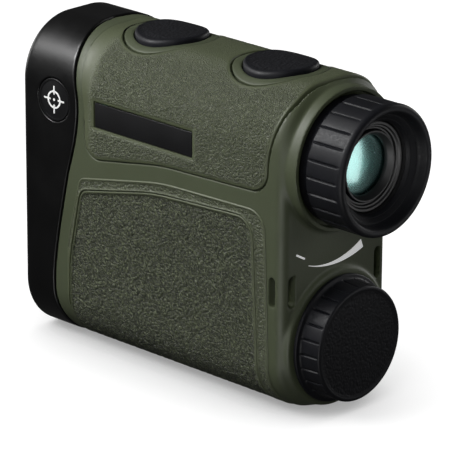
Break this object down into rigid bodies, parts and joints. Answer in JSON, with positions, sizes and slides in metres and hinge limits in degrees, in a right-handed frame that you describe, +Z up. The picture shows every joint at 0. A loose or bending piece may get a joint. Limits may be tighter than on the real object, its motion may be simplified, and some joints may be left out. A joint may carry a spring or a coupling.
{
  "type": "laser rangefinder",
  "caption": "Pocket monocular laser rangefinder with textured olive armour, two top buttons, a turning focus eyepiece and a screw-in battery cap.",
  "frame": {"origin": "middle of the footprint box, on the surface the rangefinder stands on", "axes": "+X out of the eyepiece (rear), along the length; -X out of the objective (front); +Y to the user's right, across the width; +Z up, towards the buttons"},
  "size_m": [0.098, 0.035, 0.0769],
  "materials": {
    "olive_shell": "fine-grained matte moulded plastic",
    "olive_armour": "pebble-textured soft grip rubber, matte",
    "black_shell": "smooth satin moulded plastic",
    "black_trim": "smooth satin inlay",
    "black_rubber": "matte rubber, ribbed or pebbled",
    "inner_plastic": "matte black moulded plastic",
    "anodised_metal": "black anodised, matte",
    "coated_glass": "polished optical glass with an anti-reflection coating",
    "circuit_board": "solder-masked fibreglass board",
    "component": "moulded electronic component",
    "steel": "plated steel",
    "brass_contact": "bright brass",
    "capacitor_can": "sleeved capacitor can",
    "battery_label": "printed shrink sleeve, without any text",
    "seal_rubber": "soft silicone seal"
  },
  "bodies": {
    "housing": {"main_housing": "olive_shell", "upper_armour": "olive_armour", "lower_armour": "olive_armour", "front_cover": "black_shell", "left_badge": "black_trim", "right_badge": "black_trim", "left_nameplate": "black_trim", "right_nameplate": "black_trim", "eyepiece_barrel": "inner_plastic", "battery_tube": "inner_plastic", "objective_cell": "anodised_metal", "objective_retainer": "anodised_metal", "emitter_barrel": "anodised_metal", "emitter_retainer": "anodised_metal", "prism_frame": "anodised_metal", "objective_lens_front": "coated_glass", "objective_lens_rear": "coated_glass", "emitter_lens": "coated_glass", "front_prism": "coated_glass", "roof_prism": "coated_glass", "main_board": "circuit_board", "button_board": "circuit_board", "laser_board": "circuit_board", "processor_chip": "component", "high_voltage_coil": "component", "display_module": "component", "board_screw_1": "steel", "board_screw_2": "steel", "board_screw_3": "steel", "board_screw_4": "steel", "front_switch": "steel", "rear_switch": "steel", "receiver_diode": "steel", "battery_contact": "brass_contact", "laser_diode": "brass_contact", "storage_capacitor": "capacitor_can", "battery": "battery_label", "cover_gasket": "seal_rubber"},
    "front_button": {"front_button_cap": "black_rubber", "front_button_stem": "inner_plastic"},
    "rear_button": {"rear_button_cap": "black_rubber", "rear_button_stem": "inner_plastic"},
    "eyepiece_ring": {"diopter_ring": "inner_plastic", "eyecup": "black_rubber"},
    "ocular": {"ocular_cell": "anodised_metal", "field_lens": "coated_glass", "eye_lens": "coated_glass", "ocular_retainer": "inner_plastic"},
    "cap_thread": {"contact_carrier": "inner_plastic", "cap_spring": "steel"},
    "battery_cap": {"battery_cap": "black_rubber", "cap_oring": "seal_rubber"}
  },
  "joints": [
    {"name": "front_button_press", "type": "slide", "parent": "housing", "child": "front_button", "axis": [0, 0, -1], "range_m": [0, 0.0007], "stiffness_N_per_m": 250},
    {"name": "rear_button_press", "type": "slide", "parent": "housing", "child": "rear_button", "axis": [0, 0, -1], "range_m": [0, 0.0007], "stiffness_N_per_m": 250},
    {"name": "focus_turn", "type": "hinge", "parent": "housing", "child": "eyepiece_ring", "pos_m": [0.042, 0, 0.0583], "axis": [1, 0, 0], "range_deg": [-150, 150]},
    {"name": "ocular_slide", "type": "slide", "parent": "housing", "child": "ocular", "axis": [1, 0, 0], "range_m": [-0.00125, 0.00125]},
    {"name": "cap_advance", "type": "slide", "parent": "housing", "child": "cap_thread", "axis": [1, 0, 0], "range_m": [0, 0.00375]},
    {"name": "cap_turn", "type": "hinge", "parent": "cap_thread", "child": "battery_cap", "pos_m": [0.0361, 0, 0.01605], "axis": [1, 0, 0], "range_deg": [0, 900]}
  ],
  "couplings": [
    {"joint": "focus_turn", "follows": "ocular_slide", "rad_per_m": 2094.4},
    {"joint": "cap_turn", "follows": "cap_advance", "rad_per_m": 4188.8}
  ]
}
